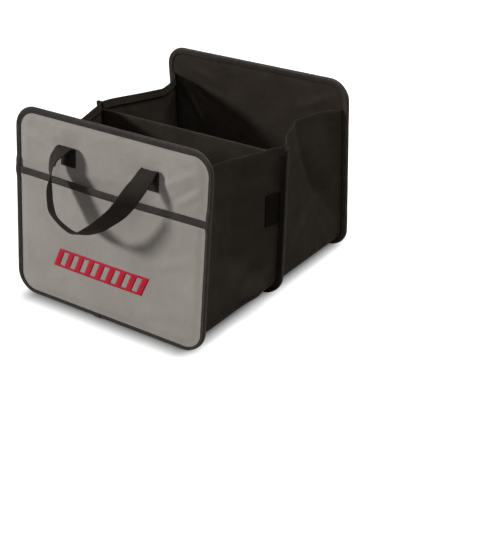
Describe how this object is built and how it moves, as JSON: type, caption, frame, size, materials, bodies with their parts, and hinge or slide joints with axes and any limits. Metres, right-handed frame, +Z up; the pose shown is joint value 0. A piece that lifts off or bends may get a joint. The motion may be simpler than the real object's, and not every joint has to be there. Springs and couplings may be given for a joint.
{
  "type": "car organizer",
  "caption": "Open-topped cloth organizer for a car boot: stiff bound front and rear panels, mid divider, pleated side walls, front pocket and webbing handles.",
  "frame": {"origin": "on the ground, at the middle of the divider's bottom edge", "axes": "+Z up, +Y from the front panel to the rear panel, +X to the right seen from the front"},
  "size_m": [0.39, 0.5644, 0.3238],
  "materials": {
    "grey_cloth": "laminated, satin",
    "black_cloth": "matte",
    "binding_tape": "woven, matte",
    "webbing": "woven, matte",
    "stiffener_board": "matte",
    "floor_board_cloth": "matte",
    "hook_tape": "matte pile",
    "red_print": "printed"
  },
  "bodies": {
    "root": {"front_board": "stiffener_board", "front_cover": "grey_cloth", "front_lining": "black_cloth", "front_binding": "binding_tape", "front_pocket": "grey_cloth", "front_pocket_binding": "binding_tape", "front_print": "red_print", "front_handle": "webbing", "rear_board": "stiffener_board", "rear_cover": "grey_cloth", "rear_lining": "black_cloth", "rear_binding": "binding_tape", "rear_handle": "webbing", "divider_board": "stiffener_board", "divider_cover": "black_cloth", "divider_binding": "binding_tape", "front_band": "black_cloth", "rear_band": "black_cloth", "front_floor_board": "floor_board_cloth", "rear_floor_board": "floor_board_cloth", "left_hook_patch": "hook_tape", "right_hook_patch": "hook_tape"}
  },
  "joints": []
}
